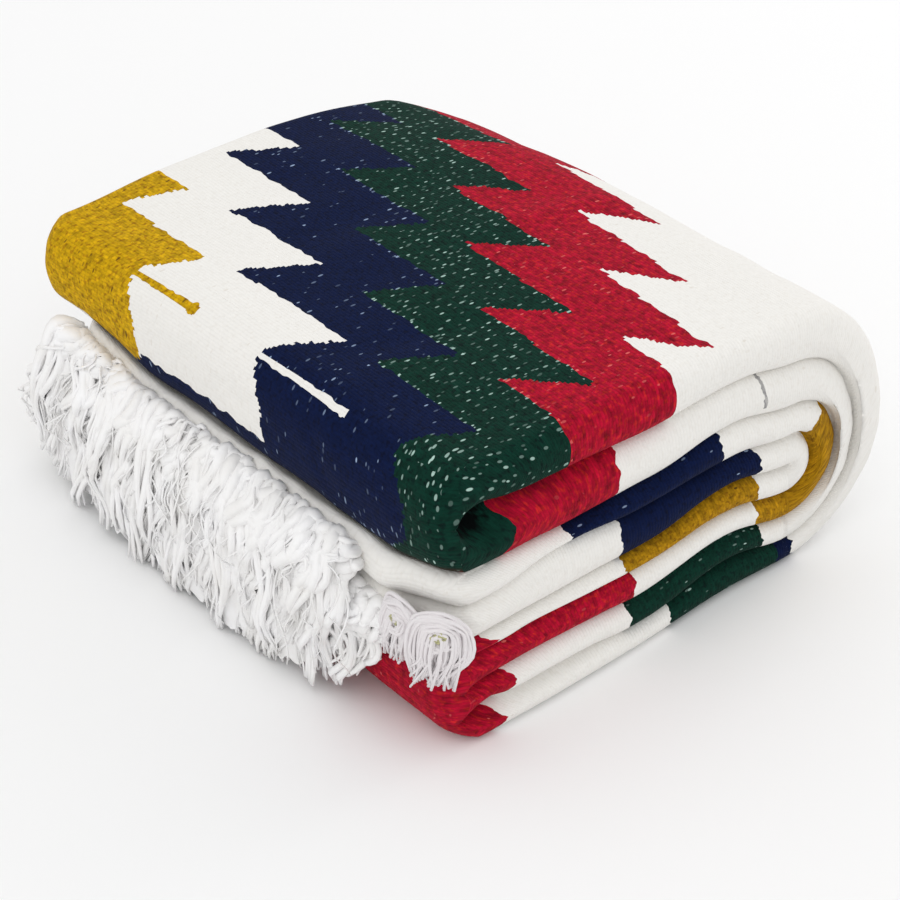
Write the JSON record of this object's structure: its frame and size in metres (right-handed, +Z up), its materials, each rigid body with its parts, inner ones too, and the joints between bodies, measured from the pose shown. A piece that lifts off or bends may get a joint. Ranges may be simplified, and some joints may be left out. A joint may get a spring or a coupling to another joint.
{
  "type": "folded mexican serape blanket",
  "caption": "Thick woven serape blanket folded into a layered rectangular pile, with rolled edges on its long sides and fringe hanging at one end.",
  "frame": {"origin": "bottom centre of the bounding box, on the surface that the pile rests on", "axes": "+Z up, +Y across the pile along the cloth's width, +X from the fringe end to the wrapped end"},
  "size_m": [0.3132, 0.3206, 0.1457],
  "materials": {
    "woven_cloth": "matte weft-faced weave with serrated bands of mustard, cream, navy, green and red",
    "fringe_yarn": "matte soft off-white yarn"
  },
  "bodies": {
    "root": {"serape_cloth": "woven_cloth", "fringe_first_end": "fringe_yarn", "fringe_second_end": "fringe_yarn"}
  },
  "joints": []
}
